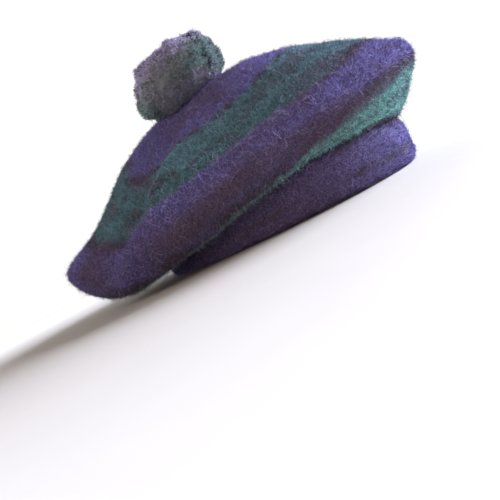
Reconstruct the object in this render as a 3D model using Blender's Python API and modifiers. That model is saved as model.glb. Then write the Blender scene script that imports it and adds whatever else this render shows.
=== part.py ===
"""Tam o shanter: a soft felted crown on a folded headband, with a pompom on top.

The hat stands on its headband as it does on a shelf. Its front faces -Y and the
wearer's right is at -X, where the crown droops. The origin is at the bottom
centre of the whole hat's box. Sizes below are in millimetres, and a bearing is
counted in degrees from the front, through the wearer's left (+X).
"""

import math

import bmesh
import bpy
import numpy as np
from mathutils import Matrix, Vector

MM = 0.001
GAP = 0.3  # clearance between neighbouring pieces

# Headband: knitted double and folded, an oval ring round a 57 cm head
BAND_CENTRE = (4.5, -17.8)
BAND_HALF_WIDTH = 91.0
BAND_HALF_LENGTH = 109.0
BAND_HEIGHT = 30.0
BAND_THICKNESS = 9.0
BAND_BULGE = 1.0  # how far the rolled sides swell at half height
BAND_FOOT = 2.4  # width of the flat strip that it stands on
BAND_FOOT_INSET = 1.5  # how far that strip lies inside the middle of the wall
BAND_ROUNDING = 3.5

# Crown: one felted shell. Its cloth radius is measured along the wool from the centre
WALL = 3.0
CROWN_CENTRE = (-5.5, 1.2)
CROWN_TOP = 118.0
BEARINGS = 72
RING_CLOTH_RADII = (0.0, 75.0, 128.0, 167.0, 197.0, 232.0)
RING_STEPS = (5, 5, 7, 5, 4)

# Each row is one meridian section: radii from the crown's centre, and heights
SECTION_COLUMNS = (
    "bearing",
    "top_r", "top_z",
    "shoulder_r", "shoulder_z",
    "rim_r", "rim_z",
    "belly_r", "belly_z",
)
SECTIONS = (
    (0, 76, 101, 115, 79, 150, 56, 135, 38),
    (30, 79, 110, 123, 89, 152, 66, 140, 46),
    (60, 80, 114, 128, 95, 150, 72, 138, 47),
    (90, 78, 117, 127, 96, 151, 73, 133, 46),
    (120, 76, 115, 123, 93, 149, 70, 128, 44),
    (150, 76, 110, 116, 88, 148, 62, 123, 38),
    (180, 77, 103, 116, 79, 148, 53, 123, 29),
    (210, 68, 104, 116, 70, 146, 47, 124, 23),
    (240, 68, 94, 115, 57, 147, 39, 127, 15),
    (270, 73, 77, 115, 44, 139, 29, 123, 7),
    (300, 68, 79, 105, 55, 131, 28, 114, 14),
    (330, 64, 88, 104, 64, 139, 43, 122, 27),
)

# Each row is one crease (negative) or ridge (positive) between two places on the cloth
# from_bearing, from_r, to_bearing, to_r, width, height
FOLDS = (
    (292, 134, 375, 133, 8, -4.0),
    (296, 145, 340, 143, 7, 2.5),
    (281, 55, 281, 135, 16, -6.5),
    (294, 90, 291, 140, 13, 3.5),
    (20, 60, 48, 112, 9, -2.5),
    (205, 70, 212, 130, 12, -4.0),
    (140, 80, 128, 140, 12, -3.5),
)

# Pompom: cut yarn ends in locks on a head, pressed flat where it is tied down
POMPOM_HALF_WIDTH = 38.0
POMPOM_HALF_HEIGHT = 26.0
POMPOM_SHIFT = (-1.5, 1.0)  # from the crown's centre to where it is tied down
POMPOM_LIFT = 15.5  # its centre above the crown's top
POMPOM_LEAN = 14.0  # degrees, towards the low side
POMPOM_LEAN_BEARING = 235.0
LOCK_LENGTH = 6.0
LOCK_SPREAD = 2.0  # how much the locks differ in length
LOCK_TAPER = 0.62
LOCK_SEED = 7


def material(name, colour, roughness):
    """A plain fabric colour for one sub-part."""
    finish = bpy.data.materials.new(name)
    finish.use_nodes = True
    shader = finish.node_tree.nodes["Principled BSDF"]
    shader.inputs["Base Color"].default_value = (*colour, 1.0)
    shader.inputs["Roughness"].default_value = roughness
    shader.inputs["Metallic"].default_value = 0.0
    return finish


def outward(bearings):
    """Unit vectors in plan for bearings in degrees."""
    turn = np.radians(bearings)
    return np.stack([np.sin(turn), -np.cos(turn)], axis=-1)


def sections_at(bearings):
    """Each named column of the section table at any bearing, on a smooth closed curve."""
    table = np.array(SECTIONS, float)[:, 1:]
    place = np.asarray(bearings, float) % 360 / (360 / len(table))
    row = np.floor(place).astype(int)
    t = (place - row)[:, None]
    before, here, after, beyond = (table[(row + k) % len(table)] for k in (-1, 0, 1, 2))
    values = 0.5 * (
        2 * here
        + (after - before) * t
        + (2 * before - 5 * here + 4 * after - beyond) * t**2
        + (3 * here - before - 3 * after + beyond) * t**3
    )
    return dict(zip(SECTION_COLUMNS[1:], values.T))


def reach_to_band(directions, inset):
    """Distance from the crown's centre to the headband's oval, moved in by inset."""
    size = np.array([BAND_HALF_WIDTH - inset, BAND_HALF_LENGTH - inset])
    start = (np.array(CROWN_CENTRE) - BAND_CENTRE) / size
    step = directions / size
    a = (step**2).sum(axis=1)
    b = (step * start).sum(axis=1)
    c = (start**2).sum() - 1
    return (-b + np.sqrt(b * b - a * c)) / a


def between(before, here, after, beyond, steps):
    """Points on a centripetal curve from here up to after, one set for each step."""
    def spacing(p, q):
        return np.sqrt(np.linalg.norm(q - p, axis=1, keepdims=True)) + 1e-9

    def mix(p, q, at_p, at_q, t):
        return p + (q - p) * (t - at_p) / (at_q - at_p)

    t0 = 0.0
    t1 = t0 + spacing(before, here)
    t2 = t1 + spacing(here, after)
    t3 = t2 + spacing(after, beyond)
    rows = []
    for step in range(steps):
        t = t1 + (t2 - t1) * step / steps
        a = mix(before, here, t0, t1, t)
        b = mix(here, after, t1, t2, t)
        c = mix(after, beyond, t2, t3, t)
        rows.append(mix(mix(a, b, t0, t2, t), mix(b, c, t1, t3, t), t1, t2, t))
    return rows


def crown_rows(bearings):
    """Rings of the crown's outer face from the centre to the headband, with cloth radii."""
    directions = outward(bearings)
    count = len(bearings)

    def ring(radius, height):
        plan = np.array(CROWN_CENTRE) + directions * np.reshape(radius, (-1, 1))
        return np.column_stack([plan, np.broadcast_to(height, count)])

    section = sections_at(bearings)
    opposite = sections_at(np.asarray(bearings) + 180)
    seat = BAND_HEIGHT + GAP
    guides = [ring(-opposite["top_r"], opposite["top_z"]), ring(np.zeros(count), CROWN_TOP)]
    for place in ("top", "shoulder", "rim", "belly"):
        guides.append(ring(section[place + "_r"], section[place + "_z"]))
    guides += [
        ring(reach_to_band(directions, 1.0), seat + 0.8),
        ring(reach_to_band(directions, 4.5), seat),
    ]
    rows = []
    radii = []
    for k, steps in enumerate(RING_STEPS):
        rows += between(*guides[k:k + 4], steps)
        radii += list(np.linspace(*RING_CLOTH_RADII[k:k + 2], steps, endpoint=False))
    rows += guides[-2:]
    radii += [RING_CLOTH_RADII[-1], RING_CLOTH_RADII[-1] + 3.5]
    return np.array(rows), np.array(radii)


def fold_heights(bearings, radii):
    """How far the folds lift or sink the cloth, for each ring and bearing."""
    plan = radii[:, None, None] * outward(bearings)[None]
    lift = np.zeros(plan.shape[:2])
    for from_bearing, from_r, to_bearing, to_r, width, height in FOLDS:
        pieces = 1 + abs(to_bearing - from_bearing) // 10
        along = np.linspace(0, 1, pieces + 1)
        path = outward(from_bearing + (to_bearing - from_bearing) * along)
        path = path * (from_r + (to_r - from_r) * along)[:, None]
        nearest = np.full(lift.shape, np.inf)
        for start, end in zip(path[:-1], path[1:]):
            step = end - start
            t = np.clip((plan - start) @ step / (step @ step), 0, 1)
            distance = np.linalg.norm(plan - start - t[..., None] * step, axis=-1)
            nearest = np.minimum(nearest, distance)
        lift += height * np.exp(-((nearest / width) ** 2))
    return lift


def crown_surface(bearings):
    """The crown's outer face with its folds: rings by bearings by xyz."""
    rows, radii = crown_rows(bearings)
    around = np.roll(rows, -1, axis=1) - np.roll(rows, 1, axis=1)
    down = np.gradient(rows, axis=0)
    normals = np.cross(down, around)
    normals[0] = (0.0, 0.0, 1.0)
    normals /= np.linalg.norm(normals, axis=2, keepdims=True)
    folds = fold_heights(bearings, radii)
    folds[-6:] *= np.linspace(1, 0, 6)[:, None]
    return rows + normals * folds[..., None]


def make_crown(collection):
    """A loft through the meridian sections, given its wall by Solidify."""
    bearings = np.arange(BEARINGS) * 360 / BEARINGS
    surface = crown_surface(bearings) * MM
    shell = bmesh.new()
    top = shell.verts.new(surface[0, 0])
    rings = [[shell.verts.new(point) for point in row] for row in surface[1:]]
    for k in range(BEARINGS):
        after = (k + 1) % BEARINGS
        shell.faces.new((top, rings[0][k], rings[0][after]))
        for upper, lower in zip(rings[:-1], rings[1:]):
            shell.faces.new((upper[k], lower[k], lower[after], upper[after]))
    mesh = bpy.data.meshes.new("crown")
    shell.to_mesh(mesh)
    shell.free()
    mesh.shade_smooth()
    crown = bpy.data.objects.new("crown", mesh)
    collection.objects.link(crown)
    wall = crown.modifiers.new("wall", "SOLIDIFY")
    wall.thickness = WALL * MM
    wall.offset = -1.0
    wall.use_even_offset = False
    mesh.materials.append(material("felted wool, navy and green", (0.05, 0.05, 0.16), 0.95))
    return crown


def band_profile():
    """The headband's cross-section: distance inwards from its middle, and height."""
    half = BAND_THICKNESS / 2
    outer = [
        (BAND_FOOT_INSET - BAND_FOOT / 2, 0.0),
        (-half + 0.6, BAND_ROUNDING),
        (-half - BAND_BULGE, BAND_HEIGHT / 2),
        (-half + 0.2, BAND_HEIGHT - BAND_ROUNDING),
        (-half + BAND_ROUNDING, BAND_HEIGHT),
    ]
    inner = [(-x, z) for x, z in reversed(outer)]
    inner[2] = (half, BAND_HEIGHT / 2)
    inner[-1] = (BAND_FOOT_INSET + BAND_FOOT / 2, 0.0)
    return outer + inner


def make_headband(collection):
    """The profile swept round an oval path."""
    profile = bpy.data.curves.new("headband_profile", "CURVE")
    profile.dimensions = "2D"
    line = profile.splines.new("POLY")
    points = band_profile()
    line.points.add(len(points) - 1)
    for point, (x, z) in zip(line.points, points):
        point.co = (x * MM, z * MM, 0.0, 1.0)
    line.use_cyclic_u = True
    guide = bpy.data.objects.new("headband_profile", profile)
    guide.hide_render = True
    guide.display_type = "WIRE"
    bpy.data.collections["guides"].objects.link(guide)

    path = bpy.data.curves.new("headband", "CURVE")
    path.dimensions = "2D"
    oval = path.splines.new("POLY")
    oval.points.add(BEARINGS - 1)
    half_width = BAND_HALF_WIDTH - BAND_THICKNESS / 2
    half_length = BAND_HALF_LENGTH - BAND_THICKNESS / 2
    for k, point in enumerate(oval.points):
        turn = 2 * math.pi * k / BEARINGS
        point.co = (half_width * math.cos(turn) * MM, half_length * math.sin(turn) * MM, 0, 1)
    oval.use_cyclic_u = True
    path.bevel_mode = "OBJECT"
    path.bevel_object = guide
    path.materials.append(material("folded wool knit, navy", (0.055, 0.05, 0.19), 0.95))
    band = bpy.data.objects.new("headband", path)
    band.location = (BAND_CENTRE[0] * MM, BAND_CENTRE[1] * MM, 0.0)
    collection.objects.link(band)
    return band


def crown_height_under(points):
    """Height of the crown's outer face under each point near its centre."""
    offset = points[:, :2] - CROWN_CENTRE
    bearings = np.degrees(np.arctan2(offset[:, 0], -offset[:, 1]))
    rows, _ = crown_rows(bearings)
    radii = np.linalg.norm(rows[:, :, :2] - CROWN_CENTRE, axis=2)
    reach = np.linalg.norm(offset, axis=1)
    top_rows = RING_STEPS[0] + RING_STEPS[1]
    return np.array([
        np.interp(reach[k], radii[:top_rows, k], rows[:top_rows, k, 2])
        for k in range(len(points))
    ])


def make_pompom(collection):
    """Locks drawn out of a ball's faces, squashed and laid on the crown."""
    rng = np.random.default_rng(LOCK_SEED)
    ball = bmesh.new()
    bmesh.ops.create_icosphere(ball, subdivisions=3, radius=1.0)
    locks = bmesh.ops.extrude_discrete_faces(ball, faces=ball.faces[:])["faces"]
    for lock in locks:
        centre = lock.calc_center_median()
        length = LOCK_LENGTH + LOCK_SPREAD * rng.uniform(-1, 1)
        tip = 1.0 - (LOCK_LENGTH + LOCK_SPREAD - length) / POMPOM_HALF_WIDTH
        for corner in lock.verts:
            corner.co = (centre + (corner.co - centre) * LOCK_TAPER).normalized() * tip
    roots = 1.0 - (LOCK_LENGTH + LOCK_SPREAD) / POMPOM_HALF_WIDTH
    tips = {corner for lock in locks for corner in lock.verts}
    for vertex in ball.verts:
        if vertex not in tips:
            vertex.co = vertex.co.normalized() * roots
    lean = math.radians(POMPOM_LEAN)
    low_side = outward(POMPOM_LEAN_BEARING)
    axis = Vector((*(low_side * math.sin(lean)), math.cos(lean)))
    turn = Vector((0, 0, 1)).rotation_difference(axis).to_matrix().to_4x4()
    size = Matrix.Diagonal((POMPOM_HALF_WIDTH, POMPOM_HALF_WIDTH, POMPOM_HALF_HEIGHT, 1))
    root = Vector((*(np.array(CROWN_CENTRE) + POMPOM_SHIFT), CROWN_TOP))
    place = Matrix.Translation(root + axis * POMPOM_LIFT)
    bmesh.ops.transform(ball, matrix=place @ turn @ size, verts=ball.verts)
    points = np.array([vertex.co for vertex in ball.verts])
    lowest = crown_height_under(points) + 2 * GAP
    for vertex, floor in zip(ball.verts, lowest):
        vertex.co.z = max(vertex.co.z, floor)
    bmesh.ops.scale(ball, vec=(MM, MM, MM), verts=ball.verts)
    mesh = bpy.data.meshes.new("pompom")
    ball.to_mesh(mesh)
    ball.free()
    mesh.materials.append(material("cut wool yarn, green and navy", (0.07, 0.08, 0.12), 1.0))
    pompom = bpy.data.objects.new("pompom", mesh)
    collection.objects.link(pompom)
    return pompom


def main():
    for old in list(bpy.data.objects):
        bpy.data.objects.remove(old, do_unlink=True)
    for name in ("tam_o_shanter", "guides"):
        collection = bpy.data.collections.new(name)
        bpy.context.scene.collection.children.link(collection)
    hat = bpy.data.collections["tam_o_shanter"]
    make_headband(hat)
    make_crown(hat)
    make_pompom(hat)


main()
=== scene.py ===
# A tam o shanter: brushed, felted wool in dyed rings, a folded headband and a pompom of cut yarn.
# Lengths in the dictionaries are millimetres. A bearing counts degrees from the front (-Y)
# through the wearer's left (+X), and the crown droops to the wearer's right (-X).
import math

import bpy
import numpy as np
from mathutils import Matrix, Vector


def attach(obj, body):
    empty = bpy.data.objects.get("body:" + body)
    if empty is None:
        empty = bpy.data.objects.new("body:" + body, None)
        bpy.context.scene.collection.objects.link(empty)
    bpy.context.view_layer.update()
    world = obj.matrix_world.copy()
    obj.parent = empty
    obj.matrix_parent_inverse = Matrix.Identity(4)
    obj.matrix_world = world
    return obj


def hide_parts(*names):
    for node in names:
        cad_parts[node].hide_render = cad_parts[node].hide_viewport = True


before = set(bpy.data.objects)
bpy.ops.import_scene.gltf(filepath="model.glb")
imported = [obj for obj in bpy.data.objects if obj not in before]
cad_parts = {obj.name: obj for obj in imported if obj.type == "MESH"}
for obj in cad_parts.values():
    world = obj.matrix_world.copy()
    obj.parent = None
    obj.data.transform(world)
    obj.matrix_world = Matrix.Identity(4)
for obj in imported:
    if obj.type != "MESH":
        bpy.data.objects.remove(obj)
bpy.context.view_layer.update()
mm = 0.001


def linearHex(code):
    # an sRGB hex value as a linear colour
    parts = [int(code[k:k + 2], 16) / 255 for k in (1, 3, 5)]
    return [v / 12.92 if v <= 0.04045 else ((v + 0.055) / 1.055) ** 2.4 for v in parts] + [1.0]


def addNode(tree, kind, inputs=None, **settings):
    # one node with its settings; an input is a value, or a socket that gets linked
    node = tree.nodes.new("ShaderNode" + kind)
    for name, value in settings.items():
        setattr(node, name, value)
    for key, value in (inputs or {}).items():
        if isinstance(value, bpy.types.NodeSocket):
            tree.links.new(value, node.inputs[key])
        else:
            node.inputs[key].default_value = value
    return node


def newMaterial(name):
    material = bpy.data.materials.new(name)
    material.use_nodes = True
    tree = material.node_tree
    return material, tree, tree.nodes["Principled BSDF"]


def fillRamp(node, stops):
    # stops are (position 0..1, hex colour)
    ramp = node.color_ramp
    while len(ramp.elements) > 1:
        ramp.elements.remove(ramp.elements[-1])
    ramp.elements[0].position = stops[0][0]
    ramp.elements[0].color = linearHex(stops[0][1])
    for place, code in stops[1:]:
        ramp.elements.new(place).color = linearHex(code)


def addObject(name, data):
    added = bpy.data.objects.new(name, data)
    bpy.context.scene.collection.objects.link(added)
    return added


def addMarks(mesh, marks):
    # named values for each corner, which the materials read
    for name, values in marks.items():
        mesh.attributes.new(name, "FLOAT", "POINT").data.foreach_set("value", values)


def settle(piece, replaced=None):
    # every piece rides on the one body, and may stand for a CAD node
    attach(piece, "root")
    if replaced:
        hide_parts(replaced)


# The crown and the headband, from the same sizes as their solids. They come first together,
# because the crown's edge follows the headband's oval.
crown = {
    "centre": (-5.5, 1.2),
    "top": 118.0,
    "wall": 3.0,
    "around": 240,  # steps round the crown
    "ringSteps": (14, 17, 24, 16, 10),  # steps between the places of the sections
    "clothRadii": (0.0, 75.0, 128.0, 167.0, 197.0, 232.0),  # along the wool from the centre
    "seat": 30.3,  # height of the headband's top and the gap over it
    "meets": ((1.0, 0.8), (4.5, 0.0)),  # its last rings: inside the band's oval, and over the seat
    # bearing, then radius and height at the top, shoulder, rim and belly
    "sections": (
        (0, 76, 101, 115, 79, 150, 56, 135, 38),
        (30, 79, 110, 123, 89, 152, 66, 140, 46),
        (60, 80, 114, 128, 95, 150, 72, 138, 47),
        (90, 78, 117, 127, 96, 151, 73, 133, 46),
        (120, 76, 115, 123, 93, 149, 70, 128, 44),
        (150, 76, 110, 116, 88, 148, 62, 123, 38),
        (180, 77, 103, 116, 79, 148, 53, 123, 29),
        (210, 68, 104, 116, 70, 146, 47, 124, 23),
        (240, 68, 94, 115, 57, 147, 39, 127, 15),
        (270, 73, 77, 115, 44, 139, 29, 123, 7),
        (300, 68, 79, 105, 55, 131, 28, 114, 14),
        (330, 64, 88, 104, 64, 139, 43, 122, 27),
    ),
    # from bearing, from radius, to bearing, to radius, width, height (a crease is negative)
    "folds": (
        (292, 134, 375, 133, 8, -4.0),
        (296, 145, 340, 143, 7, 2.5),
        (281, 55, 281, 135, 16, -6.5),
        (294, 90, 291, 140, 13, 3.5),
        (20, 60, 48, 112, 9, -2.5),
        (205, 70, 212, 130, 12, -4.0),
        (140, 80, 128, 140, 12, -3.5),
    ),
    # the same columns, for the smaller puckers that only show close up
    "puckers": (
        (296, 144, 336, 142, 4, 1.5),
        (294, 131, 340, 130, 4, -1.5),
        (286, 168, 300, 146, 9, 2.0),
        (356, 91, 372, 123, 4, 1.6),
        (340, 96, 358, 118, 5, -1.2),
        (262, 92, 268, 128, 4, 1.9),
        (272, 96, 276, 134, 4, -1.8),
        (252, 96, 257, 136, 4, 1.5),
        (281, 122, 277, 150, 4, 1.6),
        (292, 150, 278, 182, 5, 2.5),
        (285, 150, 272, 176, 6, -1.6),
        (28, 128, 44, 114, 13, -1.3),
        (34, 92, 46, 84, 14, -1.8),
        (18, 156, 48, 154, 7, 2.4),
        (12, 190, 38, 192, 12, -1.2),
        (14, 50, 38, 48, 11, 1.2),
        (240, 80, 251, 104, 11, -2.6),
    ),
    "swells": ((0.8, 18.0, 3), (0.25, 5.0, 4)),  # swelling by chance: how far, over what size, seed
    "napRoom": (1.1, 55.0),  # the felt lies this far inside for its nap, most at this bearing
    "napRoomGrows": (50.0, 90.0),  # cloth radii over which that room grows from nothing
    "calmRings": 20,  # over the last rings the folds and swells die out
}
headband = {
    "centre": (4.5, -17.8),
    "halfWidth": 91.0,
    "halfLength": 109.0,
    "height": 30.0,
    "thickness": 9.0,
    "bulge": 1.0,
    "foot": 2.4,  # the flat strip that it stands on
    "footInset": 1.5,
    "rounding": 3.5,
    "tucks": (0.6, 0.2),  # how far the side draws in at its low and high corner
    "around": 240,
    "profileSteps": 4,  # points between the corners of the profile
    "length": 600.0,  # about once round, for the dye's map
    "ripple": (0.45, 12.0, 8),  # how far it swells by chance, over what size, seed
    "bow": (-32.0, 48.0, 2.4),  # the lower edge lifts: middle bearing, width, height
    "paintedShade": (-52.0, 50.0, 0.65),  # painted shade on the side away from the window: middle bearing, half width, share
}


def outward(bearings):
    turn = np.radians(bearings)
    return np.stack([np.sin(turn), -np.cos(turn)], axis=-1)


def pointing(bearings, heights):
    # directions by bearing and height angle
    slopes = np.radians(heights)[..., None]
    return np.concatenate([np.cos(slopes) * outward(bearings), np.sin(slopes)], axis=-1)


def degreesFrom(bearing, bearings):
    return (bearings - bearing + 180) % 360 - 180


def smoothTable(rows, bearings):
    # a table with evenly spaced bearings, read on a smooth closed curve
    table = np.array(rows, float)[:, 1:]
    place = np.asarray(bearings, float) % 360 / (360 / len(table))
    row = np.floor(place).astype(int)
    t = (place - row)[:, None]
    before, here, after, beyond = (table[(row + k) % len(table)] for k in (-1, 0, 1, 2))
    return 0.5 * (
        2 * here
        + (after - before) * t
        + (2 * before - 5 * here + 4 * after - beyond) * t**2
        + (3 * here - before - 3 * after + beyond) * t**3
    ).T


def reachToBand(directions, inset):
    # distance from the crown's centre to the headband's oval, moved in by inset
    size = np.array([headband["halfWidth"] - inset, headband["halfLength"] - inset])
    start = (np.array(crown["centre"]) - headband["centre"]) / size
    step = directions / size
    a = (step**2).sum(axis=1)
    b = (step * start).sum(axis=1)
    c = (start**2).sum() - 1
    return (-b + np.sqrt(b * b - a * c)) / a


def between(before, here, after, beyond, steps):
    # points on a centripetal curve from here up to after
    def spacing(p, q):
        return np.sqrt(np.linalg.norm(q - p, axis=1, keepdims=True)) + 1e-9

    def mix(p, q, atP, atQ, t):
        return p + (q - p) * (t - atP) / (atQ - atP)

    t1 = spacing(before, here)
    t2 = t1 + spacing(here, after)
    t3 = t2 + spacing(after, beyond)
    rows = []
    for step in range(steps):
        t = t1 + (t2 - t1) * step / steps
        a = mix(before, here, 0.0, t1, t)
        b = mix(here, after, t1, t2, t)
        c = mix(after, beyond, t2, t3, t)
        rows.append(mix(mix(a, b, 0.0, t2, t), mix(b, c, t1, t3, t), t1, t2, t))
    return rows


def crownRows(bearings, ringSteps):
    # rings of the outer face from the centre to the headband, with their cloth radii
    directions = outward(bearings)

    def ring(radius, height):
        plan = np.array(crown["centre"]) + directions * np.reshape(radius, (-1, 1))
        return np.column_stack([plan, np.broadcast_to(height, len(directions))])

    section = smoothTable(crown["sections"], bearings)
    opposite = smoothTable(crown["sections"], np.asarray(bearings) + 180)
    guides = [ring(-opposite[0], opposite[1]), ring(np.zeros(len(directions)), crown["top"])]
    guides += [ring(section[k], section[k + 1]) for k in range(0, 8, 2)]
    for inset, over in crown["meets"]:
        guides.append(ring(reachToBand(directions, inset), crown["seat"] + over))
    rows, radii = [], []
    for k, steps in enumerate(ringSteps):
        rows += between(*guides[k:k + 4], steps)
        radii += list(np.linspace(*crown["clothRadii"][k:k + 2], steps, endpoint=False))
    rows += guides[-2:]
    (first, _), (second, _) = crown["meets"]
    radii += [crown["clothRadii"][-1], crown["clothRadii"][-1] + second - first]
    return np.array(rows), np.array(radii)


def foldHeights(bearings, radii, folds):
    plan = radii[:, None, None] * outward(bearings)[None]
    lift = np.zeros(plan.shape[:2])
    for fromBearing, fromR, toBearing, toR, width, height in folds:
        along = np.linspace(0, 1, 2 + abs(toBearing - fromBearing) // 10)
        path = outward(fromBearing + (toBearing - fromBearing) * along)
        path = path * (fromR + (toR - fromR) * along)[:, None]
        nearest = np.full(lift.shape, np.inf)
        for start, end in zip(path[:-1], path[1:]):
            step = end - start
            t = np.clip((plan - start) @ step / (step @ step), 0, 1)
            off = plan - start - t[..., None] * step
            nearest = np.minimum(nearest, np.linalg.norm(off, axis=-1))
        lift += height * np.exp(-((nearest / width) ** 2))
    return lift


def sheetNormals(points, closedPole=True):
    # outward normals of a sheet of rings by bearings
    around = np.roll(points, -1, axis=1) - np.roll(points, 1, axis=1)
    normals = np.cross(np.gradient(points, axis=0), around)
    if closedPole:
        normals[0] = (0.0, 0.0, 1.0)
    return normals / np.linalg.norm(normals, axis=2, keepdims=True)


def softNoise(places, size, seed):
    # a smooth random value from -1 to 1 for each place, with lumps of about this size
    waves = 14
    rng = np.random.default_rng(seed)
    value = np.zeros(places.shape[:-1])
    for k in range(waves):
        wave = rng.normal(size=3)
        wave *= 2 * math.pi / (size * rng.uniform(1.4, 3.0)) / np.linalg.norm(wave)
        value += np.sin(places @ wave + rng.uniform(0, 2 * math.pi))
    return value / math.sqrt(waves) / 1.2


crownBearings = np.arange(crown["around"]) * 360 / crown["around"]
rows, clothRadii = crownRows(crownBearings, crown["ringSteps"])
lift = foldHeights(crownBearings, clothRadii, crown["folds"] + crown["puckers"])
lift += sum(height * softNoise(rows, size, seed) for height, size, seed in crown["swells"])
room, roomBearing = crown["napRoom"]
room = room * (0.5 + 0.5 * np.cos(np.radians(crownBearings - roomBearing)))
start, end = crown["napRoomGrows"]
lift -= room * np.clip((clothRadii - start) / (end - start), 0, 1)[:, None]
lift[-crown["calmRings"]:] *= np.linspace(1, 0, crown["calmRings"])[:, None]
lift[0] = lift[0].mean()
crownFace = rows + sheetNormals(rows) * lift[..., None]
crownNormals = sheetNormals(crownFace)
print("crown form worked out:", crownFace.shape)


# the dyed rings, as places along the wool
rings = {
    # bearing, then cloth radii: end of the middle, line in the green, end of the green,
    # end of the wide blue, end of the lower green
    "edges": (
        (0, 86, 111, 138, 180, 222),
        (16, 84, 104, 131, 178, 226),
        (40, 79, 106, 132, 181, 224),
        (120, 79, 107, 131, 186, 222),
        (230, 82, 107, 131, 192, 222),
        (252, 86, 107, 131, 196, 222),
        (268, 86, 107, 131, 196, 222),
        (276, 74, 112, 133, 196, 222),
        (282, 64, 118, 142, 196, 222),
        (289, 62, 126, 145, 197, 222),
        (298, 68, 119, 131, 195, 222),
        (308, 76, 119, 132, 192, 222),
        (318, 82, 119, 135, 192, 222),
        (328, 87, 115, 133, 194, 222),
        (340, 88, 110, 133, 191, 222),
        (350, 89, 112, 137, 183, 222),
    ),
    "dyed": (79, 108, 131, 188, 222),  # where the material's rings have those places
    "last": 236.0,
    "smoothed": 5.0,  # degrees
    # the material's rings: from, to, the dye, and the kind of black that may cover it
    "colours": (
        (0, 73, "navy", ""),
        (73, 79, "green", "line"),
        (79, 105, "green", ""),
        (105, 110, "green", "line"),
        (110, 130, "green", ""),
        (130, 138, "navy", "band"),
        (138, 178, "navy", ""),
        (178, 188, "navy", "band"),
        (188, 203, "teal", ""),
        (203, 208, "teal", "line"),
        (208, 221, "teal", ""),
        (221, 240, "navy", "band"),
    ),
    "bleed": 1.2,  # how far a dye bleeds over each edge
    # painted shade: patches drawn darker where the wool lies in shade, on the near wall, in the
    # creases and under the pompom: bearing, cloth radius, half width round, half width across,
    # share
    "paintedShade": (
        (314, 170, 25, 15, 0.95),
        (344, 175, 14, 11, 0.85),
        (4, 178, 14, 8, 0.75),
        (30, 178, 20, 7, 0.6),
        (267, 162, 10, 25, 0.85),
        (303, 172, 11, 13, 0.6),
        (299, 136, 11, 4, 0.85),
        (352, 204, 12, 2.5, 0.6),
        (293, 190, 9, 16, 0.4),
        (312, 200, 27, 14, 0.65),
        (356, 102, 20, 10, 0.35),
        (4, 126, 19, 6, 0.6),
        (352, 184, 13, 5, 0.5),
        (335, 147, 14, 7, 0.5),
        (332, 55, 22, 18, 0.25),
        (328, 36, 60, 13, 0.7),
        (200, 172, 40, 10, 0.6),
        (110, 174, 40, 9, 0.6),
        (318, 135, 27, 3.0, 0.75),
        (352, 139, 14, 4.0, 0.75),
        (14, 134, 12, 5, 0.7),
        (8, 97, 7, 5, 0.7),
        (270, 81, 11, 7, 0.75),
        (270, 139, 13, 9, 0.8),
        (254, 106, 5, 5, 0.8),
    ),
}


def paintedShadeAt(radii, bearings):
    # how much painted shade darkens the wool, for each ring and bearing
    paintedShadeAndBlotches = np.zeros((len(radii), len(bearings)))
    for bearing, radius, along, across, share in rings["paintedShade"]:
        aside = np.abs(degreesFrom(bearing, bearings)[None] / along) ** 3
        patch = np.exp(-(aside + np.abs((radii[:, None] - radius) / across) ** 3))
        paintedShadeAndBlotches = 1 - (1 - paintedShadeAndBlotches) * (1 - share * patch)
    return paintedShadeAndBlotches


def dyePlaces(radii, bearings):
    # moves each cloth radius to where the material's rings expect it: flat plan, in metres
    table = np.array(rings["edges"], float)
    table = np.vstack([table, table[0] + [360, 0, 0, 0, 0, 0]])
    degree = np.arange(360)
    weight = np.exp(-((degreesFrom(degree, degree[:, None]) / rings["smoothed"]) ** 2))
    read = np.stack([np.interp(degree, table[:, 0], table[:, k]) for k in range(1, 6)], axis=-1)
    read = weight @ read / weight.sum(axis=1, keepdims=True)
    read = np.vstack([read, read[:1]])
    edges = [np.interp(bearings % 360, np.arange(361), read[:, k]) for k in range(5)]
    edges = np.stack(edges, axis=-1)
    last = rings["last"]
    known = np.array([0.0, *rings["dyed"], last])
    dyed = np.zeros((len(radii), len(bearings)))
    for k in range(len(bearings)):
        dyed[:, k] = np.interp(radii, [0.0, *edges[k], last], known)
    return dyed[..., None] * outward(bearings)[None] * mm


crownDye = dyePlaces(clothRadii, crownBearings)
# painted shade on the crown, a share for each ring and bearing
crownPaintedShade = paintedShadeAt(clothRadii, crownBearings)


# Materials. All the wool has one set of colours.
wool = {
    "navy": "#625C93",
    "black": "#413C48",
    "green": "#4F737C",
    "teal": "#6C9E99",
    "paintedShadeAndBlotch": "#54465A",  # painted shade, and random darker blotches in the wool
    "drab": "#76706E",
    "pale": "#B0ABC6",
    "sheen": "#C9C4E0",
    "grain": (1.1, (0.32, 0.68)),  # the fibres' light and dark: size, span of the noise
    "wander": (16.0, 5.0),  # the rings' edges wander: over what size, how far
    "frayed": 2.2,  # the size of the frays along an edge
    # what comes and goes: size, span of the noise, least and most share
    "blackBands": (34.0, (0.34, 0.5), (0.25, 1.0)),
    "blackLines": (16.0, (0.42, 0.55), (0.0, 0.95)),
    "blotches": (13.0, (0.5, 0.75), (0.0, 0.7)),
    "yarnGrain": (1.2, (0.32, 0.68)),
    # cut yarn, from greyed purple through grey to green
    "yarnDyes": ((0.0, "#A297BE"), (0.3, "#7F7C98"), (0.5, "#66656C"), (0.72, "#4B5B59"),
                 (1.0, "#3C5D57")),
}
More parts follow.
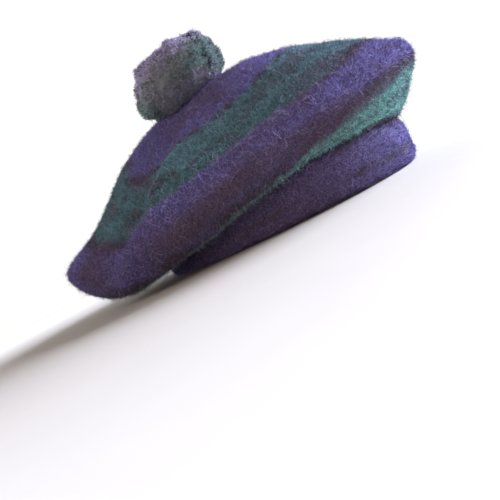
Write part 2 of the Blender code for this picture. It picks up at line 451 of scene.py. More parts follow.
# the headband's colour by share of its height: a dark dyed line low down, and a dark upper edge,
# painted shade under the crown's overhang
bandDyes = {
    "heights": ((0.0, "navy"), (0.24, "navy"), (0.32, "black"), (0.4, "black"), (0.48, "navy"),
                (0.78, "navy"), (0.92, "black")),
    "top": 31.0,  # the height that the shares are of
    "wander": (14.0, 2.5),
    "fray": 1.2,
    "shown": (30.0, (0.4, 0.6), (0.15, 0.8)),
}


def patchiness(tree, body, size, span, levels, detail=2.0, roughness=0.5):
    # a smooth random value: lumps of about size (mm), the noise's span spread over the levels
    noise = addNode(tree, "TexNoise", {"Vector": body, "Scale": 1000 / size, "Detail": detail,
                                       "Roughness": roughness}).outputs["Fac"]
    return addNode(tree, "MapRange", {"Value": noise, "From Min": span[0], "From Max": span[1],
                                      "To Min": levels[0], "To Max": levels[1]}).outputs[0]


def moveEdge(tree, body, value, size, reach):
    # moves a length in metres at random, up to about reach (mm) to either side
    shift = patchiness(tree, body, size, (0.2, 0.8), (-reach * mm, reach * mm), 3.0)
    return addNode(tree, "Math", {0: value, 1: shift}, operation="ADD").outputs[0]


def grained(tree, body, colour, levels):
    # the grain of the wool, over the painted shade and random darker blotches
    paintedShadeAndBlotches = addNode(tree, "Attribute", attribute_name="paintedShadeAndBlotches").outputs["Fac"]
    blotches = patchiness(tree, body, *wool["blotches"])
    paintedShadeAndBlotches = addNode(tree, "Math", {0: paintedShadeAndBlotches, 1: blotches}, operation="MAXIMUM").outputs[0]
    shadedAndBlotched = {0: paintedShadeAndBlotches, 6: colour, 7: linearHex(wool["paintedShadeAndBlotch"])}
    colour = addNode(tree, "Mix", shadedAndBlotched, data_type="RGBA").outputs[2]
    grain = patchiness(tree, body, *wool["grain"], levels, 3.0, 0.7)
    lit = addNode(tree, "VectorMath", {0: colour, "Scale": grain}, operation="SCALE")
    return lit.outputs["Vector"]


def dyeColour(tree, levels, fray):
    # Wool dyed in rings: the shade follows the cloth, read from the map named dye. The rings'
    # edges wander, and the black between them comes and goes.
    place = addNode(tree, "UVMap", uv_map="dye").outputs["UV"]
    reach = addNode(tree, "VectorMath", {0: place}, operation="LENGTH").outputs["Value"]
    body = addNode(tree, "TexCoord").outputs["Object"]
    moved = moveEdge(tree, body, reach, *wool["wander"])
    if fray:
        moved = moveEdge(tree, body, moved, wool["frayed"], fray)
    widest, bleed = rings["colours"][-1][1], rings["bleed"]
    along = addNode(tree, "Math", {0: moved, 1: widest * mm}, operation="DIVIDE").outputs[0]

    def ringRamp(blackened):
        # the rings, with these kinds of black drawn
        stops = []
        for start, end, dye, black in rings["colours"]:
            shade = wool["black"] if black in blackened else wool[dye]
            stops += [((start + bleed) / widest, shade), ((end - bleed) / widest, shade)]
        ramp = addNode(tree, "ValToRGB", {"Fac": along})
        fillRamp(ramp, stops)
        return ramp.outputs["Color"]

    bands = patchiness(tree, body, *wool["blackBands"])
    lines = patchiness(tree, body, *wool["blackLines"])
    colour = ringRamp(())
    for share, blackened in ((bands, ("band",)), (lines, ("band", "line"))):
        mixed = {0: share, 6: colour, 7: ringRamp(blackened)}
        colour = addNode(tree, "Mix", mixed, data_type="RGBA").outputs[2]
    return grained(tree, body, colour, levels)


def bandColour(tree, levels, fray):
    # one navy dye with a broken darker line low on the band, and a dark upper edge of painted shade
    # under the crown
    body = addNode(tree, "TexCoord").outputs["Object"]
    height = addNode(tree, "SeparateXYZ", {0: body}).outputs["Z"]
    moved = moveEdge(tree, body, height, *bandDyes["wander"])
    moved = moveEdge(tree, body, moved, wool["frayed"], fray or bandDyes["fray"])
    along = addNode(tree, "Math", {0: moved, 1: bandDyes["top"] * mm}, operation="DIVIDE")
    ramp = addNode(tree, "ValToRGB", {"Fac": along.outputs[0]})
    fillRamp(ramp, [(share, wool[dye]) for share, dye in bandDyes["heights"]])
    shown = patchiness(tree, body, *bandDyes["shown"])
    mixed = {0: shown, 6: linearHex(wool["navy"]), 7: ramp.outputs["Color"]}
    colour = addNode(tree, "Mix", mixed, data_type="RGBA").outputs[2]
    return grained(tree, body, colour, levels)


def woolShader(shader, sheen):
    # wool fibre has an IOR near 1.55, but scales on it scatter the light: rough, hardly any gloss
    for name, value in {"Roughness": 0.95, "IOR": 1.5, "Specular IOR Level": 0.12,
                        "Sheen Weight": sheen, "Sheen Roughness": 0.6}.items():
        shader.inputs[name].default_value = value
    shader.inputs["Sheen Tint"].default_value = linearHex(wool["sheen"])


def woolGround(name, colour):
    # The felted cloth under the nap, darker because light is lost between the fibres
    material, tree, shader = newMaterial(name)
    tree.links.new(colour(tree, levels=(0.35, 0.95), fray=2.5), shader.inputs["Base Color"])
    woolShader(shader, sheen=0.08)
    # felt is a mat of curled fibres: a grain of about 1.2 mm with softer lumps of 5 mm
    body = addNode(tree, "TexCoord").outputs["Object"]
    grain, lumps = (
        addNode(tree, "TexNoise", {"Vector": body, "Scale": 1000 / size, "Detail": detail,
                                   "Roughness": roughness}).outputs["Fac"]
        for size, detail, roughness in ((1.2, 4.0, 0.7), (5.0, 2.0, 0.5)))
    both = addNode(tree, "Math", {0: grain, 1: lumps}, operation="ADD").outputs[0]
    bump = addNode(tree, "Bump", {"Height": both, "Distance": 1.4 * mm, "Strength": 0.9})
    tree.links.new(bump.outputs["Normal"], shader.inputs["Normal"])
    return material


def woolNap(name, colour):
    # Brushed wool fibres: each takes the dye and the painted shade at its root, and a few are pale
    # or drab
    material, tree, shader = newMaterial(name)
    shade, loose, tone = (addNode(tree, "Attribute", attribute_name=mark).outputs["Fac"]
                          for mark in ("shade", "loose", "tone"))
    dyed = colour(tree, levels=(0.8, 1.2), fray=0)
    lit = addNode(tree, "VectorMath", {0: dyed, "Scale": shade}, operation="SCALE")
    other = addNode(tree, "ValToRGB", {"Fac": tone})
    fillRamp(other, [(0.0, wool["drab"]), (0.5, wool["drab"]), (1.0, wool["pale"])])
    mixed = {0: loose, 6: lit.outputs["Vector"], 7: other.outputs["Color"]}
    mixed = addNode(tree, "Mix", mixed, data_type="RGBA")
    tree.links.new(mixed.outputs[2], shader.inputs["Base Color"])
    woolShader(shader, sheen=0.1)
    return material


def cutYarn(name, levels):
    # Cut ends of soft spun wool yarn, each strand with its own dye and its painted light and shade
    material, tree, shader = newMaterial(name)
    dye, shade = (addNode(tree, "Attribute", attribute_name=mark).outputs["Fac"]
                  for mark in ("dye", "shade"))
    ramp = addNode(tree, "ValToRGB", {"Fac": dye})
    fillRamp(ramp, wool["yarnDyes"])
    body = addNode(tree, "TexCoord").outputs["Object"]
    grain = patchiness(tree, body, *wool["yarnGrain"], levels, 3.0, 0.7)
    both = addNode(tree, "Math", {0: grain, 1: shade}, operation="MULTIPLY").outputs[0]
    lit = addNode(tree, "VectorMath", {0: ramp.outputs["Color"], "Scale": both}, operation="SCALE")
    tree.links.new(lit.outputs["Vector"], shader.inputs["Base Color"])
    woolShader(shader, sheen=0.12)
    return material


def makeSheet(name, points, dye, paintedShadeAndBlotches, wall=None):
    # a grid laid on rings of points, its seam and centre closed, then given its wall
    bpy.ops.object.select_all(action="DESELECT")
    ringCount, around = points.shape[:2]
    bpy.ops.mesh.primitive_grid_add(x_subdivisions=around, y_subdivisions=ringCount - 1)
    sheet = bpy.context.object
    sheet.name = sheet.data.name = name
    points, dye, paintedShadeAndBlotches = (np.concatenate([grid, grid[:, :1]], axis=1)[::-1]
                         for grid in (points, dye, paintedShadeAndBlotches))
    sheet.data.vertices.foreach_set("co", points.reshape(-1))
    corners = np.zeros(len(sheet.data.loops), int)
    sheet.data.loops.foreach_get("vertex_index", corners)
    dyeMap = sheet.data.uv_layers[0]
    dyeMap.name = "dye"
    dyeMap.data.foreach_set("uv", dye.reshape(-1, 2)[corners].reshape(-1))
    # the painted shade, as a mark on each corner
    addMarks(sheet.data, {"paintedShadeAndBlotches": paintedShadeAndBlotches.reshape(-1)})
    bpy.ops.object.mode_set(mode="EDIT")
    bpy.ops.mesh.select_all(action="SELECT")
    bpy.ops.mesh.remove_doubles(threshold=0.01 * mm)
    bpy.ops.object.mode_set(mode="OBJECT")
    if wall:
        solid = sheet.modifiers.new("wall", "SOLIDIFY")
        solid.thickness = wall
        solid.offset = -1.0
        bpy.ops.object.modifier_apply(modifier="wall")
    bpy.ops.object.shade_smooth()
    return sheet


crownSkin = makeSheet("crown_skin", crownFace * mm, crownDye, crownPaintedShade, crown["wall"] * mm)
crownSkin.data.materials.append(woolGround("fulled wool felt", dyeColour))
settle(crownSkin, "crown")
print("crown skin:", len(crownSkin.data.polygons), "faces")


bandBearings = np.arange(headband["around"]) * 360 / headband["around"]


def bandRings():
    # the rolled profile carried round the oval: profile points by bearings
    half, height = headband["thickness"] / 2, headband["height"]
    outer = [
        (headband["footInset"] - headband["foot"] / 2, 0.0),
        (-half + headband["tucks"][0], headband["rounding"]),
        (-half - headband["bulge"], height / 2),
        (-half + headband["tucks"][1], height - headband["rounding"]),
        (-half + headband["rounding"], height),
    ]
    inner = [(-x, z) for x, z in reversed(outer)]
    inner[2] = (half, height / 2)
    inner[-1] = (headband["footInset"] + headband["foot"] / 2, 0.0)
    corners = np.array(outer + inner)
    corners = np.column_stack([corners, np.zeros(len(corners))])
    steps = headband["profileSteps"]
    profile = []
    for k in range(len(corners)):
        four = [corners[(k + j) % len(corners)][None] for j in (-1, 0, 1, 2)]
        profile += [point[0] for point in between(*four, steps)]
    profile = np.array(profile)
    profile[:, 1] = np.clip(profile[:, 1], 0.0, height)
    oval = np.array([headband["halfWidth"] - half, headband["halfLength"] - half])
    away = outward(bandBearings) / oval
    away /= np.hypot(away[:, 0], away[:, 1])[:, None]
    points = np.zeros((len(profile), len(bandBearings), 3))
    middle = headband["centre"] + outward(bandBearings) * oval
    points[..., :2] = middle - profile[:, :1, None] * away
    points[..., 2] = profile[:, 1:2]
    return points


bandFace = bandRings()
bandClosed = np.concatenate([bandFace, bandFace[:1]])
bandNormals = sheetNormals(bandClosed, closedPole=False)
acrossSeam = np.roll(bandFace, 2, axis=0)
bandNormals[0] = bandNormals[-1] = sheetNormals(acrossSeam, closedPole=False)[2]
outerRing = 10  # a ring on the outer side, which shows whether the normals point out
outwards = bandNormals[outerRing, :, :2] * (bandClosed[outerRing, :, :2] - headband["centre"])
if outwards.sum() < 0:
    bandNormals = -bandNormals
ripple, rippleSize, rippleSeed = headband["ripple"]
swell = ripple * softNoise(bandClosed, rippleSize, rippleSeed)
bandClosed = bandClosed + bandNormals * swell[..., None]
bandClosed[-1] = bandClosed[0]
bandClosed[..., 2] = np.clip(bandClosed[..., 2], 0.0, headband["height"])
bowAt, bowWidth, bowHeight = headband["bow"]
bow = bowHeight * np.exp(-((degreesFrom(bowAt, bandBearings) / bowWidth) ** 2))
bandClosed[..., 2] += bow * (1 - bandClosed[..., 2] / headband["height"]) ** 2
# the headband's painted shade, strongest at one bearing and the same at every height
darkAt, darkWidth, darkShare = headband["paintedShade"]
bandPaintedShade = darkShare * np.exp(-np.abs(degreesFrom(darkAt, bandBearings) / darkWidth) ** 3)
bandPaintedShade = np.broadcast_to(bandPaintedShade, bandClosed.shape[:2]).copy()
bandDye = np.zeros(bandClosed.shape[:2] + (2,))
bandDye[..., 0] = np.arange(headband["around"]) / headband["around"] * headband["length"] * mm
bandDye[..., 1] = bandClosed[..., 2] * mm
bandSkin = makeSheet("headband_skin", bandClosed[::-1] * mm, bandDye[::-1], bandPaintedShade[::-1])
bandSkin.data.materials.append(woolGround("folded wool knit", bandColour))
settle(bandSkin, "headband")
print("headband skin:", len(bandSkin.data.polygons), "faces")


# The nap: thin ribbons brushed out of the felt.
nap = {
    # piece: the cloth radii it grows between (the pompom covers the centre), its seed, how unlike
    # in shade its fibres are, then how many curled, short, raised and stray fibres
    "pieces": {
        "crown_nap_middle": (22, 84, 20, 0.5, (10500, 36000, 5200, 600)),
        "crown_nap_green": (84, 133, 21, 0.65, (20500, 61000, 8000, 1200)),
        "crown_nap_rim": (133, 170, 22, 0.9, (22500, 65000, 8400, 1600)),
        "crown_nap_under": (170, 235, 23, 1.0, (22000, 64000, 6400, 1400)),
        "headband_nap": (0, 0, 40, 1.0, (19000, 54000, 4800, 800)),
    },
    # segments, shortest and longest, width, least and most rise and how far it turns in radians
    "kinds": {
        "curled": (2, (2.2, 4.6), 0.20, (0.10, 0.70), 1.3),
        "short": (1, (1.3, 3.0), 0.26, (0.30, 1.30), 0.0),
        "raised": (2, (2.5, 6.0), 0.22, (0.80, 1.50), 0.9),
        "stray": (4, (6.0, 13.0), 0.13, (0.30, 1.00), 1.6),
    },
    "together": 4,  # raised fibres stand in wisps of so many
    "wispSpread": 0.35,  # radians by which the fibres of a wisp differ
    "turnsDown": 1.5,  # share of its rise by which a fibre comes down again
    "tapers": 0.15,  # share of its width that a fibre loses on each side before its tip
    "lowest": 0.15,  # no fibre reaches the table
    "bandFrom": 0.8,  # the headband grows fibres over this height
    "shade": ((0.3, 1.25), 1.6),  # light of a fibre: a number between these squared, times this
    "alike": 0.55,  # under painted shade, the fibres differ so much less in light
    "paler": ((0.15, 0.6), 0.3),  # share of pale in stray fibres, less under painted shade
    "drab": (0.05, 0.06),  # share of greyish fibres, and how many more under painted shade
    "drabness": ((0.2, 0.6), 0.6),  # share of grey in those, less under painted shade
    "crossing": 2.6,  # how far a fibre's own dye strays over a ring's edge
    "thinForTrial": 0.5,
}


def scatter(points, weight, count, rng):
    # places on a sheet, evenly by area times weight, as cell numbers and shares across them
    across = np.roll(points, -1, axis=1)[:-1] - points[:-1]
    down = points[1:] - points[:-1]
    area = np.linalg.norm(np.cross(across, down), axis=2) * weight
    cell = rng.choice(area.size, count, p=(area / area.sum()).ravel())
    row, column = cell // area.shape[1], cell % area.shape[1]
    return row, column, rng.random((count, 1)), rng.random((count, 1))


def readAt(values, places):
    # what a sheet's grid of values says at the scattered places
    row, column, u, v = places
    after = (column + 1) % values.shape[1]
    upper = values[row, column] * (1 - u) + values[row, after] * u
    lower = values[row + 1, column] * (1 - u) + values[row + 1, after] * u
    return upper * (1 - v) + lower * v


def unit(vectors):
    return vectors / np.maximum(np.linalg.norm(vectors, axis=-1, keepdims=True), 1e-9)


def ribbons(roots, normals, aims, lengths, rises, shape, rng):
    # tapered ribbons that rise from the cloth, curl and lie down again: corners and faces
    segments, _, width, _, curl = shape
    count = len(roots)
    sides = unit(np.cross(normals, aims))
    bend = rng.normal(0, curl, (count, 1))
    twist = rng.uniform(-1.0, 1.0, (count, 1))
    point = roots.copy()
    corners = np.zeros((count, 2 * segments + 1, 3))
    for k in range(segments):
        share = k / segments
        heading = bend * share
        pitch = rises * (1 - nap["turnsDown"] * share)
        flat = aims * np.cos(heading) + sides * np.sin(heading)
        step = flat * np.cos(pitch) + normals * np.sin(pitch)
        acrossFlat = unit(np.cross(step, normals))
        across = unit(acrossFlat * np.cos(twist) + np.cross(step, acrossFlat) * np.sin(twist))
        half = width * (0.5 - nap["tapers"] * share)
        corners[:, 2 * k] = point - across * half
        corners[:, 2 * k + 1] = point + across * half
        point = point + step * lengths / segments
    corners[:, -1] = point
    corners[..., 2] = np.maximum(corners[..., 2], nap["lowest"])
    faces = [[2 * k, 2 * k + 1, 2 * k + 3, 2 * k + 2] for k in range(segments - 1)]
    faces += [[2 * segments - 2, 2 * segments - 1, 2 * segments]]
    return corners, faces


def newPiece(name, places, faces, marks, material, replaced=None):
    # a piece from its corners in mm and its faces, with a named mark for each corner
    mesh = bpy.data.meshes.new(name)
    mesh.from_pydata((places * mm).tolist(), [], faces)
    addMarks(mesh, marks)
    mesh.materials.append(material)
    settle(addObject(name, mesh), replaced)
    return mesh


def softenShading(mesh, facing):
    # the light on each corner follows this direction, as in a soft mass of fibres
    mesh.shade_smooth()
    mesh.normals_split_custom_set_from_vertices(facing.tolist())


def joinRibbons(name, kinds, marks, dye, material, facing=None):
    # one mesh of every fibre, with its dye and marks, and a map named OFBake in which each
    # fibre has a cell of its own; facing gives the fibres the soft shading of the ball
    places, faces, owners, spots = [], [], [], []
    first = owner = 0
    for corners, pattern in kinds:
        count, size = corners.shape[:2]
        starts = first + np.arange(count) * size
        for face in pattern:
            faces += (starts[:, None] + np.array(face)).tolist()
        places.append(corners.reshape(-1, 3))
        owners.append(owner + np.repeat(np.arange(count), size))
        spots.append(np.tile(np.arange(size) / (size - 1), count))
        first, owner = first + count * size, owner + count
    places, owners, spots = (np.concatenate(parts) for parts in (places, owners, spots))
    marks = {key: values[owners] for key, values in marks.items()}
    mesh = newPiece(name, places, faces, marks, material)
    loops = np.zeros(len(mesh.loops), int)
    mesh.loops.foreach_get("vertex_index", loops)
    fibre = owners[loops]
    if dye is not None:
        mesh.uv_layers.new(name="dye").data.foreach_set("uv", dye[fibre].reshape(-1))
    side = math.ceil(math.sqrt(owner))
    cell = np.column_stack([fibre % side, fibre // side])
    # the fibre keeps clear of its cell's edges
    inCell = np.column_stack([0.2 + 0.6 * (loops % 2), 0.15 + 0.7 * spots[loops]])
    mesh.uv_layers.new(name="OFBake").data.foreach_set("uv", ((cell + inCell) / side).reshape(-1))
    if facing is not None:
        softenShading(mesh, facing[owners])
    print(name, owner, "fibres,", sum(len(face) - 2 for face in faces), "triangles")


def growNap(name, cloth, weight, material):
    # the fibres of one piece, on a sheet with its normals, its dye and its painted shade
    points, normals, dye, paintedShadeAndBlotches = cloth
    seed, differ, counts = nap["pieces"][name][2:]
    rng = np.random.default_rng(seed)
    kinds, dyes, marks = [], [], {"shade": [], "loose": [], "tone": [], "paintedShadeAndBlotches": []}
    skew = (0.31, 0.55, 0.77)  # any direction off the normals, to count turns from
    for (kind, shape), count in zip(nap["kinds"].items(), counts):
        count = int(count * (1))
        wisp = nap["together"] if kind == "raised" else 1
        places = scatter(points, weight, count // wisp, rng)
        places = [np.repeat(part, wisp, axis=0) for part in places]
        count = len(places[0])
        roots = readAt(points, places)
        ups = unit(readAt(normals, places))
        first = unit(np.cross(ups, skew))
        turn = np.repeat(rng.uniform(0, 2 * math.pi, (count // wisp, 1)), wisp, axis=0)
        turn = turn + rng.normal(0, nap["wispSpread"], (count, 1))
        aims = first * np.cos(turn) + np.cross(ups, first) * np.sin(turn)
        lengths = rng.uniform(*shape[1], (count, 1))
        rises = rng.uniform(*shape[3], (count, 1))
        kinds.append(ribbons(roots, ups, aims, lengths, rises, shape, rng))
        place = readAt(dye, places)
        dyes.append(place + unit(place) * rng.normal(0, nap["crossing"] * mm, (count, 1)))
        # the painted shade at each fibre's root
        deep = readAt(paintedShadeAndBlotches[..., None], places)[:, 0]
        marks["paintedShadeAndBlotches"].append(deep)
        unlike = differ * (1 - nap["alike"] * deep)
        span, gain = nap["shade"]
        marks["shade"].append(1 + (rng.uniform(*span, count) ** 2 * gain - 1) * unlike)
        if kind == "stray":
            span, less = nap["paler"]
            marks["loose"].append(rng.uniform(*span, count) * (1 - less * deep))
            marks["tone"].append(np.ones(count))
        else:
            drab = rng.random(count) < nap["drab"][0] + nap["drab"][1] * deep
            span, less = nap["drabness"]
            marks["loose"].append(drab * rng.uniform(*span, count) * (1 - less * deep))
            marks["tone"].append(rng.random(count))
    marks = {key: np.concatenate(values) for key, values in marks.items()}
    joinRibbons(name, kinds, marks, np.concatenate(dyes), material)


crownNap = woolNap("brushed wool nap", dyeColour)
crownCloth = crownFace, crownNormals, crownDye, crownPaintedShade
middles = (clothRadii[:-1] + clothRadii[1:]) / 2
for name, (start, end, *_) in nap["pieces"].items():
    if name.startswith("crown"):
        weight = ((middles >= start) & (middles < end)).astype(float)[:, None]
        growNap(name, crownCloth, weight, crownNap)
bandNap = woolNap("brushed band nap", bandColour)
bandCloth = bandClosed, bandNormals, bandDye, bandPaintedShade
weight = (bandClosed[:-1, :, 2] > nap["bandFrom"]).astype(float)
growNap("headband_nap", bandCloth, weight, bandNap)


# The pompom: strands of cut yarn in tufts, a core under them and loose fibres round their ends.
pompom = {
    "halfWidth": 38.0,
    "halfHeight": 26.0,
    "shift": (-1.5, 1.0),
    "lift": 15.5,
    "lean": 14.0,
    "leanBearing": 235.0,
    "strands": 7000,
    "strewn": 0.012,  # how far the strands stray from an even spread
    "tufts": (420, 0.18, 0.035),  # how many, how far ends gather in them, how their reach differs
    "yarn": 0.7,  # a strand's radius
    "yarnDiffers": (0.75, 1.25),  # thinnest and thickest, as shares of it
    "sides": 3,
    "stations": ((0.78, 1.0), (0.97, 0.95)),  # share of the way out, share of the yarn's radius
    "sway": 0.7,
    "spread": 1.3,  # how much the cut ends differ in reach
    "lumps": 1.8,  # how far the ball swells and sinks by chance
    "lumpNoise": (30.0, 11.0, 6, 0.3),  # on what radius, over what size, seed, how far sunk in
    "bumps": ((42, 52, 4.4), (236, 50, 6.0), (242, -24, 4.5)),  # bearing, height angle, how far out
    "bumpSharpness": 35.0,
    "soft": 0.12,  # how much the strands differ in the way they face the light
    "light": (0.7, 1.25),  # least and most light of a strand
    "over": 0.6,  # the gap over the crown
    "core": (0.94, 0.85),  # its share of the ball, and of the light: painted shade on the core under the strands
    # a direction by bearing and height angle, the dye of the yarn there (0 blue .. 1 green)
    # and the painted light and shade there, as a share of the yarn's light
    "dyed": (
        (55, 0, 0.85, 0.38), (55, 22, 0.8, 0.38), (50, 50, 0.25, 0.48), (325, 32, 0.2, 1.05),
        (290, 50, 0.15, 1.35), (240, 18, 0.05, 1.65), (235, 56, 0.4, 1.3), (355, 10, 0.8, 0.75),
        (325, 0, 0.7, 1.3), (340, -45, 0.4, 1.0), (290, -35, 0.5, 1.3), (240, -15, 0.85, 2.4),
        (235, 0, 0.65, 1.7), (290, 10, 0.5, 1.3), (100, 40, 0.4, 0.45), (130, 0, 0.9, 0.5),
        (170, 30, 0.3, 0.55), (190, -10, 0.8, 0.7), (90, 80, 0.3, 0.4), (190, 55, 0.25, 0.45),
    ),
    "dyeSharpness": 12.0,
    "dyeDiffers": 0.1,  # how far a strand's own dye is off
    "seed": 11,
}
fuzz = {
    "fibres": 36000,
    "strewn": 0.03,  # how far the fibres stray from their strand
    "from": (0.93, 1.0),  # share of the way out at which they start
    "shape": (2, (1.2, 3.2), 0.26, (0.5, 1.5), 0.8),  # the columns of the nap's kinds
    "over": 0.5,
    "light": (0.65, 1.3),
    "soft": 0.15,
    "seed": 12,
}


def crownHeightUnder(points):
    # the height of the crown's outer face under or over each point
    steps = (8, 8, 2, 2, 2)
    known = steps[0] + steps[1]  # the rings of the top, all that the pompom reaches
    offset = points[:, :2] - crown["centre"]
    bearings = np.degrees(np.arctan2(offset[:, 0], -offset[:, 1]))
    under = crownRows(bearings, steps)[0][:known]
    radii = np.linalg.norm(under[:, :, :2] - crown["centre"], axis=2)
    reach = np.linalg.norm(offset, axis=1)
    return np.array([np.interp(reach[k], radii[:, k], under[:, k, 2]) for k in range(len(points))])


def raiseOver(points, gap):
    # lifts what would lie in the crown
    points[:, 2] = np.maximum(points[:, 2], crownHeightUnder(points) + gap)
    return points


def pompomFrame():
    # the ball's centre, and the turn that leans it over
    axis = Vector(pointing(pompom["leanBearing"], 90 - pompom["lean"]))
    turn = np.array(Vector((0, 0, 1)).rotation_difference(axis).to_matrix())
    root = np.array([*(np.array(crown["centre"]) + pompom["shift"]), crown["top"]])
    return root + np.array(axis) * pompom["lift"], turn


def evenDirections(count):
    k = np.arange(count) + 0.5
    z = 1 - 2 * k / count
    turn = k * math.pi * (3 - math.sqrt(5))
    flat = np.sqrt(1 - z * z)
    return np.column_stack([flat * np.cos(turn), flat * np.sin(turn), z])


def lumpsTowards(directions):
    # how far the ball swells or sinks there, as a share of its half width
    radius, size, seed, sunk = pompom["lumpNoise"]
    noise = softNoise(directions * radius, size, seed)[:, None]
    return pompom["lumps"] / pompom["halfWidth"] * (noise - sunk)


def pompomDye(aims, rng):
    # the dye and the painted light and shade of the yarn in these directions
    table = np.array(pompom["dyed"], float)
    spots = pointing(table[:, 0], table[:, 1])
    weight = np.exp((aims @ spots.T - 1) * pompom["dyeSharpness"])
    dye, light = (weight @ table[:, 2:] / weight.sum(axis=1, keepdims=True)).T
    return np.clip(dye + rng.normal(0, pompom["dyeDiffers"], len(aims)), 0, 1), light


centre, turn = pompomFrame()
half = np.array([pompom["halfWidth"], pompom["halfWidth"], pompom["halfHeight"]])
yarn = cutYarn("cut wool yarn", (0.7, 1.25))
rng = np.random.default_rng(pompom["seed"])


def strandReach(aims, nearest, tuftCount, uneven):
    # how far out each strand is cut, as a share of the ball
    reach = 1 - rng.random((len(aims), 1)) ** 2 * pompom["spread"] * 2 / pompom["halfWidth"]
    reach += lumpsTowards(aims)
    reach *= 1 + uneven * rng.normal(size=(tuftCount, 1))[nearest]
    for bearing, height, out in pompom["bumps"]:
        towards = pointing(bearing, height)
        near = np.exp((aims @ turn.T @ towards - 1) * pompom["bumpSharpness"])
        reach += out / pompom["halfWidth"] * near[:, None]
    return reach


def growStrands():
    # short strands of yarn standing on the core, cut off to a ball
    count = pompom["strands"]
    tuftCount, gathered, uneven = pompom["tufts"]
    aims = unit(evenDirections(count) + rng.normal(0, pompom["strewn"], (count, 3)))
    tufts = evenDirections(tuftCount)
    nearest = (aims @ tufts.T).argmax(axis=1)
    aims = unit(aims + gathered * (tufts[nearest] - aims))
    reach = strandReach(aims, nearest, tuftCount, uneven)
    stations, sides = pompom["stations"], pompom["sides"]
    first = unit(np.cross(aims, rng.normal(size=(count, 3))))
    second = np.cross(aims, first)
    sway = rng.normal(0, pompom["sway"], (count, 1)) * first
    sway = sway + rng.normal(0, pompom["sway"], (count, 1)) * second
    size = len(stations) * sides + 1
    corners = np.zeros((count, size, 3))
    thick = pompom["yarn"] * rng.uniform(*pompom["yarnDiffers"], (count, 1))
    for k, (out, radius) in enumerate(stations):
        middle = aims * half * reach * out + sway * out**2
        for j in range(sides):
            at = 2 * math.pi * j / sides
            side = (first * math.cos(at) + second * math.sin(at)) * thick * radius
            corners[:, k * sides + j] = middle + side
    corners[:, -1] = aims * half * reach + sway
    places = raiseOver(corners.reshape(-1, 3) @ turn.T + centre, pompom["over"])
    around = [(j, (j + 1) % sides) for j in range(sides)]
    quads = [[k * sides + j, k * sides + after, (k + 1) * sides + after, (k + 1) * sides + j]
             for k in range(len(stations) - 1) for j, after in around]
    last = size - 1 - sides
    tips = [[last + j, last + after, size - 1] for j, after in around]
    starts = (np.arange(count) * size)[:, None, None]
    faces = (starts + np.array(quads)).reshape(-1, 4).tolist()
    faces += (starts + np.array(tips)).reshape(-1, 3).tolist()
    ups = unit(unit((aims / half) @ turn.T) + rng.normal(0, pompom["soft"], (count, 3)))
    # painted light and shade by direction, times each strand's own light
    dye, light = pompomDye(aims @ turn.T, rng)
    shade = light * rng.uniform(*pompom["light"], count)
    marks = {"dye": np.repeat(dye, size), "shade": np.repeat(shade, size)}
    mesh = newPiece("pompom_yarn", places, faces, marks, yarn, "pompom")
    softenShading(mesh, np.repeat(ups, size, axis=0))
    print("pompom yarn:", count, "strands,", count * 3 * sides, "triangles")
    return aims, reach, dye, light


def makeCore():
    # the core of yarn between the strands
    share, dimmed = pompom["core"]
    bpy.ops.mesh.primitive_ico_sphere_add(subdivisions=5, radius=1.0)
    core = bpy.context.object
    core.name = core.data.name = "pompom_head"
    places = np.zeros((len(core.data.vertices), 3))
    core.data.vertices.foreach_get("co", places.reshape(-1))
    out = unit(places)
    places = (out * half * (share + lumpsTowards(out))) @ turn.T + centre
    places = raiseOver(places, pompom["over"])
    core.data.vertices.foreach_set("co", (places * mm).reshape(-1))
    # the core's painted light and shade, darkened again by its painted shade under the strands
    dye, light = pompomDye(out @ turn.T, rng)
    addMarks(core.data, {"dye": dye, "shade": light * dimmed})
    core.data.shade_smooth()
    core.data.materials.append(yarn)
    settle(core)


def growFuzz(strandAims, reach, dye, light):
    # loose fibres round the cut ends
    rng = np.random.default_rng(fuzz["seed"])
    count = fuzz["fibres"]
    strand = rng.integers(0, len(strandAims), count)
    aims = unit(strandAims[strand] + rng.normal(0, fuzz["strewn"], (count, 3)))
    roots = aims * half * reach[strand] * rng.uniform(*fuzz["from"], (count, 1))
    roots = roots @ turn.T + centre
    ups = unit((aims / half) @ turn.T)
    heading = unit(np.cross(ups, rng.normal(size=(count, 3))))
    shape = fuzz["shape"]
    rises = rng.uniform(*shape[3], (count, 1))
    lengths = rng.uniform(*shape[1], (count, 1))
    corners, faces = ribbons(roots, ups, heading, lengths, rises, shape, rng)
    raiseOver(corners.reshape(-1, 3), fuzz["over"])
    # each fibre takes its strand's painted light and shade, times its own light
    marks = {"dye": dye[strand], "shade": light[strand] * rng.uniform(*fuzz["light"], count)}
    facing = unit(ups + rng.normal(0, fuzz["soft"], (count, 3)))
    joinRibbons("pompom_fuzz", [(corners, faces)], marks, None,
                cutYarn("loose yarn fibre", (0.8, 1.3)), facing)


strands = growStrands()
makeCore()
growFuzz(*strands)


# Stage, lights and camera.
view = {
    "bearing": -35.0,
    "tilt": 4.27,  # looking slightly down
    "roll": 27.25,
    "away": 438.1,
    "aside": (0.06766, 0.05382),  # the headband's centre in the frame, as shares of the distance
    "lens": 41.4,
    "sensor": 36.0,
}
lights = {
    # bearing, height angle, distance in metres, size in metres, watts, colour
    "window": (67, 11, 1.5, 1.6, 215, "#E2EBFF"),
    "left": (240, 12, 1.6, 1.2, 12, "#FFFFFF"),
    "room": (-42, 12, 1.6, 1.5, 14, "#FFE8DA"),
}
lampAim = Vector((0, 0, 70 * mm))  # the middle of the hat
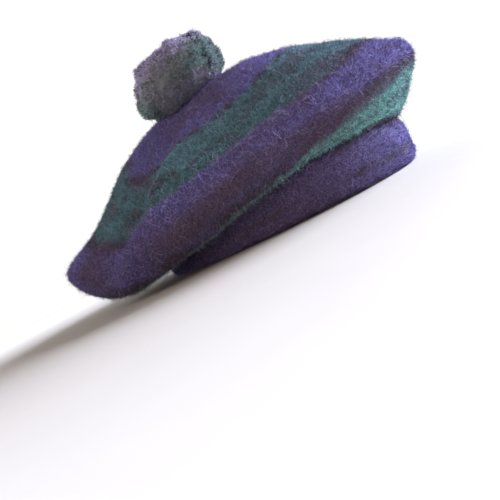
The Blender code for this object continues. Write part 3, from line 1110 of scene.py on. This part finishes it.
# a white wall behind the hat, a dimmer and warmer room behind the camera, a grey ceiling
studio = {
    "wall": "#FFFDFA",
    "room": "#C4B8B0",
    "wallBearing": 145.0,
    "turns": (0.1, 0.75),  # room turns to wall between these cosines of the angle to the wall
    # by the sine of the height angle
    "ceiling": [(0.0, "#F7F7F7"), (0.12, "#FFFFFF"), (0.55, "#FFFFFF"), (0.75, "#707070")],
    "strength": 1.12,
}
# the floor in metres: where its shade goes from near to far, and where it fades out
floorPaper = {
    "near": "#ABA59F",
    "far": "#FBF9F7",
    "from": 0.16,
    "to": 0.8,
    "fades": 0.6,
    "radius": 1.6,
    "grain": (25.0, (0.0, 1.0), (0.97, 1.03)),  # its size in mm, span of the noise, light
}

aim = Matrix.Rotation(math.radians(view["bearing"]), 3, "Z")
aim = aim @ Matrix.Rotation(math.radians(90 - view["tilt"]), 3, "X")
aim = aim @ Matrix.Rotation(math.radians(-view["roll"]), 3, "Z")
aside = Vector((-view["aside"][0], -view["aside"][1], 1.0)) * view["away"]
eye = Vector((*headband["centre"], 0.0)) + aim @ aside
cameraData = bpy.data.cameras.new("camera")
cameraData.lens = view["lens"]
cameraData.sensor_width = view["sensor"]
cameraData.clip_start = 0.01
camera = addObject("camera", cameraData)
camera.matrix_world = Matrix.Translation(eye * mm) @ aim.to_4x4()
bpy.context.scene.camera = camera
print("camera at", [round(v) for v in eye])

for name, (bearing, height, away, size, watts, colour) in lights.items():
    lamp = bpy.data.lights.new(name, "AREA")
    lamp.energy = watts
    lamp.size = size
    lamp.color = linearHex(colour)[:3]
    offset = Vector(pointing(bearing, height)) * away
    placed = addObject(name, lamp)
    placed.location = lampAim + offset
    placed.rotation_euler = offset.to_track_quat("Z", "Y").to_euler()


def shadeBetween(tree, value, start, end, first, second):
    # the first colour up to start and the second from end on, with a smooth change between
    ends = {"Value": value, "From Min": start, "From Max": end}
    share = addNode(tree, "MapRange", ends, interpolation_type="SMOOTHSTEP").outputs[0]
    colours = {0: share, 6: linearHex(first), 7: linearHex(second)}
    return addNode(tree, "Mix", colours, data_type="RGBA").outputs[2]


bpy.ops.mesh.primitive_circle_add(vertices=96, radius=floorPaper["radius"], fill_type="NGON")
floor = bpy.context.object
floor.name = "floor"
# Matt white paper, in the hat's shade near it and bright behind it
paper, paperTree, paperShader = newMaterial("matt white paper")
spot = addNode(paperTree, "TexCoord").outputs["Object"]
far = addNode(paperTree, "VectorMath", {0: spot}, operation="LENGTH").outputs["Value"]
tint = shadeBetween(paperTree, far, *(floorPaper[key] for key in ("from", "to", "near", "far")))
level = patchiness(paperTree, spot, *floorPaper["grain"], 3.0)
tint = addNode(paperTree, "VectorMath", {0: tint, "Scale": level}, operation="SCALE")
paperTree.links.new(tint.outputs["Vector"], paperShader.inputs["Base Color"])
ends = {"Value": far, "From Min": floorPaper["fades"], "From Max": floorPaper["radius"],
        "To Min": 1.0, "To Max": 0.0}
fade = addNode(paperTree, "MapRange", ends, interpolation_type="SMOOTHSTEP").outputs[0]
paperTree.links.new(fade, paperShader.inputs["Alpha"])
paperShader.inputs["Roughness"].default_value = 0.9
floor.data.materials.append(paper)

world = bpy.data.worlds.new("studio")
world.use_nodes = True
sky = world.node_tree
direction = addNode(sky, "TexCoord").outputs["Generated"]
wallWay = (*outward(studio["wallBearing"]), 0.0)
towards = addNode(sky, "VectorMath", {0: direction, 1: wallWay}, operation="DOT_PRODUCT")
towards = towards.outputs["Value"]
around = shadeBetween(sky, towards, *studio["turns"], studio["room"], studio["wall"])
upwards = addNode(sky, "SeparateXYZ", {0: direction}).outputs["Z"]
ceiling = addNode(sky, "ValToRGB", {"Fac": upwards})
fillRamp(ceiling, studio["ceiling"])
lit = addNode(sky, "VectorMath", {0: around, 1: ceiling.outputs["Color"]}, operation="MULTIPLY")
sky.links.new(lit.outputs["Vector"], sky.nodes["Background"].inputs["Color"])
sky.nodes["Background"].inputs["Strength"].default_value = studio["strength"]
bpy.context.scene.world = world
bpy.context.scene.view_settings.view_transform = "Standard"
print("stage, lights and camera set")
